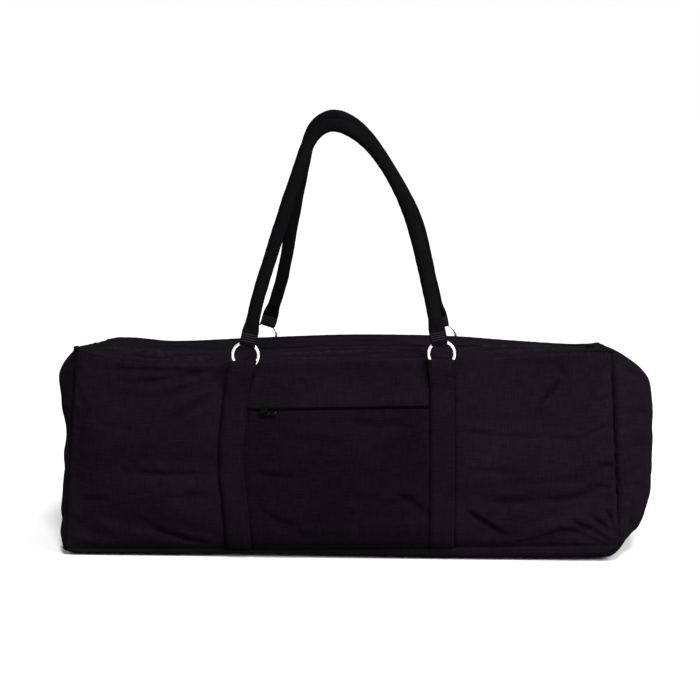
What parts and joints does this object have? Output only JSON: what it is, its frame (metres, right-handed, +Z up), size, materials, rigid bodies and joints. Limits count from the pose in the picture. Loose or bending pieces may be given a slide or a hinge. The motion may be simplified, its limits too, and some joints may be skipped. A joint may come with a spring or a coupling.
{
  "type": "yoga kit bag",
  "caption": "Long box-shaped cotton canvas kit bag with a top zip, a zipped front pocket, sewn straps, metal rings and padded carry handles.",
  "frame": {"origin": "on the floor under the middle of the bag's outline", "axes": "+X along the bag to its right end as seen from the pocket side, +Y from the pocket side to the back, +Z up"},
  "size_m": [0.7236, 0.2594, 0.5206],
  "materials": {
    "canvas": "matt woven cotton, black",
    "zip": "black woven tape with a nylon coil",
    "ring_metal": "polished nickel plate",
    "zip_metal": "black enamel"
  },
  "bodies": {
    "bag": {"front_panel": "canvas", "back_panel": "canvas", "left_end_panel": "canvas", "right_end_panel": "canvas", "base_panel": "canvas", "top_front_panel": "canvas", "top_back_panel": "canvas", "top_zip": "zip", "top_zip_slider": "zip_metal", "pocket_panel": "canvas", "pocket_facing": "canvas", "pocket_zip": "zip", "pocket_zip_slider": "zip_metal", "strap_front_left": "canvas", "strap_front_right": "canvas", "strap_back_left": "canvas", "strap_back_right": "canvas", "ring_front_left": "ring_metal", "ring_front_right": "ring_metal", "ring_back_left": "ring_metal", "ring_back_right": "ring_metal", "handle_front": "canvas", "handle_back": "canvas"},
    "pocket_pull": {"pocket_zip_pull": "zip_metal"}
  },
  "joints": [
    {"name": "pocket_pull_swing", "type": "hinge", "parent": "bag", "child": "pocket_pull", "pos_m": [-0.10173, -0.12552, 0.17819], "axis": [0.0187, -0.2096, -0.9776], "range_deg": [0, 170]}
  ]
}
